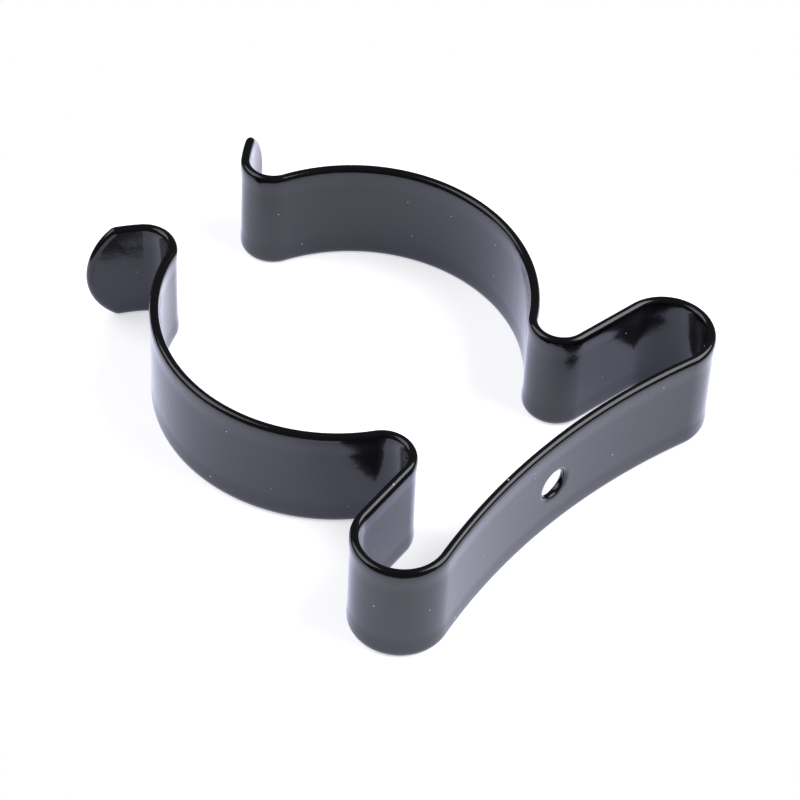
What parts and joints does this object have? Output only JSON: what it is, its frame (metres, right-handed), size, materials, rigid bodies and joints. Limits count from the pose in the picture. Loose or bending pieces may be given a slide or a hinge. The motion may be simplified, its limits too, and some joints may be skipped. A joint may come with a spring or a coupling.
{
  "type": "spring clip",
  "caption": "Spring clip for a pipe or handle: a flat steel strip folded into two springy jaws with flared lips over a bowed base with a screw hole, dipped in glossy black plastic.",
  "frame": {"origin": "middle of the screw hole, in the middle of the strip's thickness and width", "axes": "+Y away from the wall, through the grip and out of the mouth; +Z across the strip's width, along the pipe that it holds; X along the base"},
  "size_m": [0.064, 0.074, 0.016],
  "materials": {
    "coat": "glossy dipped plastic coat over spring steel"
  },
  "bodies": {
    "root": {"spring_clip": "coat"}
  },
  "joints": []
}
